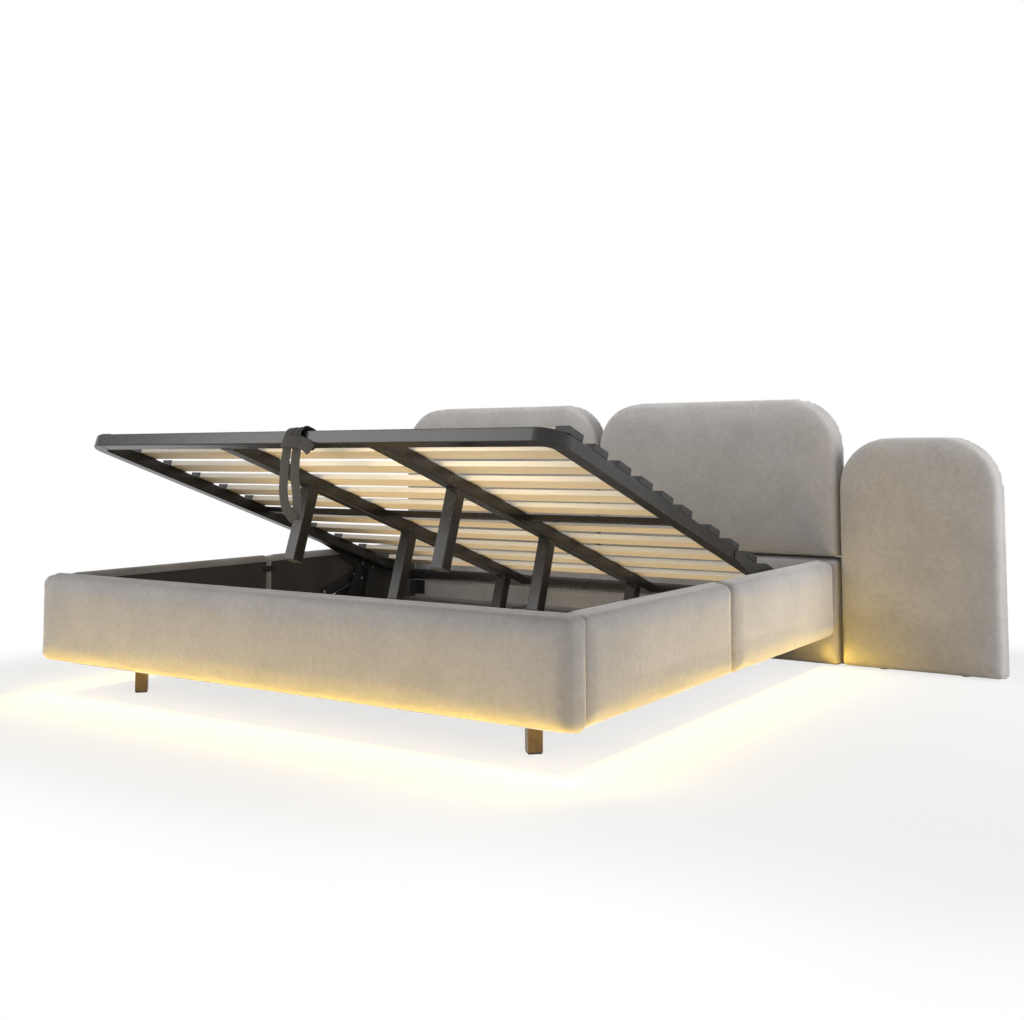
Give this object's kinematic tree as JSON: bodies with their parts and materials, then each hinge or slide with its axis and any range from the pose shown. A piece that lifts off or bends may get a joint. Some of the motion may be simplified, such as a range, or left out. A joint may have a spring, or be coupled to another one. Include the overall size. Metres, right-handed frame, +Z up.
{
  "type": "upholstered storage bed",
  "caption": "Wide upholstered bed with a lifting slatted deck over a storage box, a padded headboard that runs on past one side, and a warm light line under the rails.",
  "frame": {"origin": "floor level under the middle of the part's overall box", "axes": "+X to the side with the extra headboard panel, +Y from the foot to the headboard, +Z up"},
  "size_m": [2.791, 2.2, 1.066],
  "materials": {
    "velour": "soft short-pile velour, warm grey",
    "board": "raw chipboard and pine",
    "liner_board": "dark hardboard",
    "floor_board": "grey fibreboard",
    "black_steel": "black powder coat",
    "leg_bronze": "dark bronze lacquer",
    "felt_plastic": "black glide",
    "light_channel": "drawn aluminium",
    "light_diffuser": "opal diffuser, warm light",
    "driver_plastic": "moulded, white",
    "zinc_steel": "zinc plated",
    "deck_steel": "graphite powder coat",
    "dark_plastic": "moulded, charcoal",
    "slat_wood": "bonded beech",
    "webbing": "woven polyester webbing, charcoal",
    "strut_black": "black lacquer",
    "rod_chrome": "ground and plated"
  },
  "bodies": {
    "bed_base": {"foot_rail_cover": "velour", "left_front_rail_cover": "velour", "left_rear_rail_cover": "velour", "right_front_rail_cover": "velour", "right_rear_rail_cover": "velour", "headboard_base_cover": "velour", "left_head_pad_cover": "velour", "right_head_pad_cover": "velour", "side_head_panel_cover": "velour", "foot_rail_core": "board", "left_front_rail_core": "board", "left_rear_rail_core": "board", "right_front_rail_core": "board", "right_rear_rail_core": "board", "headboard_base_core": "board", "left_head_pad_core": "board", "right_head_pad_core": "board", "side_head_panel_core": "board", "headboard_battens": "board", "floor_frame": "board", "foot_rail_liner": "liner_board", "left_rail_liners": "liner_board", "right_rail_liners": "liner_board", "floor_panels": "floor_board", "corner_brackets": "black_steel", "rail_joint_plates": "black_steel", "side_panel_ties": "black_steel", "left_lift_plate": "black_steel", "right_lift_plate": "black_steel", "foot_legs": "leg_bronze", "floor_glides": "felt_plastic", "light_channels": "light_channel", "light_diffusers": "light_diffuser", "light_driver": "driver_plastic", "lift_plate_bolts": "zinc_steel", "lift_plate_pins": "zinc_steel"},
    "platform": {"foot_tube": "deck_steel", "corner_bends": "deck_steel", "left_side_tube": "deck_steel", "right_side_tube": "deck_steel", "head_tube": "deck_steel", "deck_beams": "deck_steel", "crossbar": "deck_steel", "support_legs": "deck_steel", "support_leg_caps": "dark_plastic", "slats": "slat_wood", "left_slat_holders": "dark_plastic", "right_slat_holders": "dark_plastic", "deck_brackets": "black_steel", "deck_bracket_pins": "zinc_steel", "strap_knot": "webbing", "pull_strap": "webbing"},
    "left_front_arm": {"left_front_arm": "black_steel"},
    "right_front_arm": {"right_front_arm": "black_steel"},
    "left_rear_arm": {"left_rear_arm": "black_steel"},
    "right_rear_arm": {"right_rear_arm": "black_steel"},
    "left_gas_cylinder": {"left_gas_cylinder": "strut_black"},
    "right_gas_cylinder": {"right_gas_cylinder": "strut_black"},
    "left_gas_rod": {"left_gas_rod": "rod_chrome"},
    "right_gas_rod": {"right_gas_rod": "rod_chrome"}
  },
  "joints": [
    {"name": "left_arm_lift", "type": "hinge", "parent": "bed_base", "child": "left_front_arm", "pos_m": [-0.3055, 0.43117, 0.17054], "axis": [1, 0, 0], "range_deg": [-36.51, 0], "deforming": ["pull_strap"]},
    {"name": "platform_tilt", "type": "hinge", "parent": "left_front_arm", "child": "platform", "pos_m": [-0.3055, 0.52765, 0.34581], "axis": [1, 0, 0], "range_deg": [-0.2, 55.11]},
    {"name": "right_arm_lift", "type": "hinge", "parent": "bed_base", "child": "right_front_arm", "pos_m": [-0.3055, 0.43117, 0.17054], "axis": [1, 0, 0], "range_deg": [-36.71, 0.2]},
    {"name": "left_rear_arm_swing", "type": "hinge", "parent": "bed_base", "child": "left_rear_arm", "pos_m": [-0.3055, 0.56032, 0.17528], "axis": [1, 0, 0], "range_deg": [-43.5, 0.2]},
    {"name": "left_cylinder_swing", "type": "hinge", "parent": "bed_base", "child": "left_gas_cylinder", "pos_m": [-0.3055, 0.53723, 0.27661], "axis": [1, 0, 0], "range_deg": [-18.46, 0.2]},
    {"name": "left_rod_swing", "type": "hinge", "parent": "left_front_arm", "child": "left_gas_rod", "pos_m": [-0.3055, 0.28345, 0.19659], "axis": [1, 0, 0], "range_deg": [-0.2, 18.46]},
    {"name": "right_rear_arm_swing", "type": "hinge", "parent": "bed_base", "child": "right_rear_arm", "pos_m": [-0.3055, 0.56032, 0.17528], "axis": [1, 0, 0], "range_deg": [-43.5, 0.2]},
    {"name": "right_cylinder_swing", "type": "hinge", "parent": "bed_base", "child": "right_gas_cylinder", "pos_m": [-0.3055, 0.53723, 0.27661], "axis": [1, 0, 0], "range_deg": [-18.46, 0.2]},
    {"name": "right_rod_swing", "type": "hinge", "parent": "right_front_arm", "child": "right_gas_rod", "pos_m": [-0.3055, 0.28345, 0.19659], "axis": [1, 0, 0], "range_deg": [-0.2, 18.46]}
  ],
  "couplings": [
    {"joint": "platform_tilt", "follows": "left_arm_lift", "ratio": -1.5039},
    {"joint": "right_arm_lift", "follows": "left_arm_lift", "ratio": 1},
    {"joint": "left_rear_arm_swing", "follows": "left_arm_lift", "ratio": 1.1858},
    {"joint": "left_cylinder_swing", "follows": "left_arm_lift", "ratio": 0.5},
    {"joint": "left_rod_swing", "follows": "left_arm_lift", "ratio": -0.5},
    {"joint": "right_rear_arm_swing", "follows": "left_arm_lift", "ratio": 1.1858},
    {"joint": "right_cylinder_swing", "follows": "left_arm_lift", "ratio": 0.5},
    {"joint": "right_rod_swing", "follows": "left_arm_lift", "ratio": -0.5}
  ]
}
